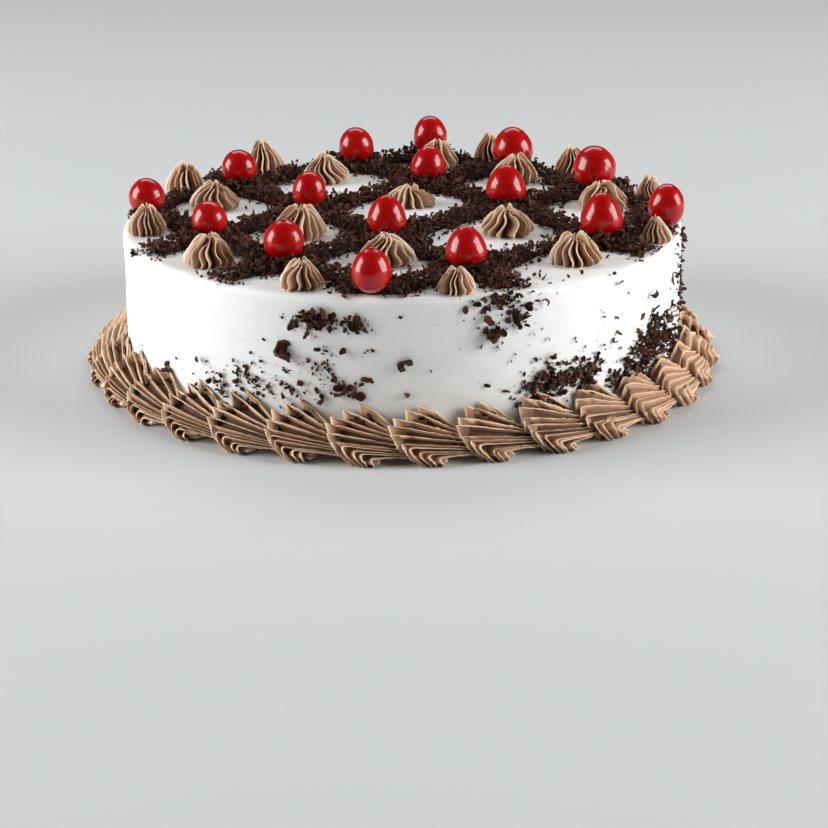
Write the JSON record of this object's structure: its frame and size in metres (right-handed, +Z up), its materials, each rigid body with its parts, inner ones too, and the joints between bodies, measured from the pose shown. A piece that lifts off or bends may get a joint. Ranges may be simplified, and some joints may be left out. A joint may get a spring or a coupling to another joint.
{
  "type": "black forest cake",
  "caption": "Round cream-coated cake with a piped chocolate shell border, a lattice of chocolate shavings, glazed cherries and piped rosettes on top.",
  "frame": {"origin": "middle of the cake's base, on the surface that it rests on", "axes": "+Z up; -Y is the side seen in front; +X to the right of it"},
  "size_m": [0.2378, 0.2378, 0.0733],
  "materials": {
    "cream": "smooth whipped cream, satin, spread with a palette knife",
    "chocolate_cream": "milk chocolate whipped cream piped through a fine star nozzle, sharp light ridges and darker grooves",
    "dark_chocolate": "dark chocolate shavings and curls, dull with a slight sheen",
    "glazed_cherry": "deep red glace cherry with a wet glossy glaze"
  },
  "bodies": {
    "root": {"cake_body": "cream", "piped_border": "chocolate_cream", "chocolate_shavings": "dark_chocolate", "cherry_01": "glazed_cherry", "cherry_02": "glazed_cherry", "cherry_03": "glazed_cherry", "cherry_04": "glazed_cherry", "cherry_05": "glazed_cherry", "cherry_06": "glazed_cherry", "cherry_07": "glazed_cherry", "cherry_08": "glazed_cherry", "cherry_09": "glazed_cherry", "cherry_10": "glazed_cherry", "cherry_11": "glazed_cherry", "cherry_12": "glazed_cherry", "cherry_13": "glazed_cherry", "cherry_14": "glazed_cherry", "cherry_15": "glazed_cherry", "cherry_16": "glazed_cherry", "rosette_01": "chocolate_cream", "rosette_02": "chocolate_cream", "rosette_03": "chocolate_cream", "rosette_04": "chocolate_cream", "rosette_05": "chocolate_cream", "rosette_06": "chocolate_cream", "rosette_07": "chocolate_cream", "rosette_08": "chocolate_cream", "rosette_09": "chocolate_cream", "rosette_10": "chocolate_cream", "rosette_11": "chocolate_cream", "rosette_12": "chocolate_cream", "rosette_13": "chocolate_cream", "rosette_14": "chocolate_cream", "rosette_15": "chocolate_cream", "rosette_16": "chocolate_cream", "rosette_17": "chocolate_cream", "rosette_18": "chocolate_cream", "rosette_19": "chocolate_cream", "rosette_20": "chocolate_cream", "rosette_21": "chocolate_cream"}
  },
  "joints": []
}
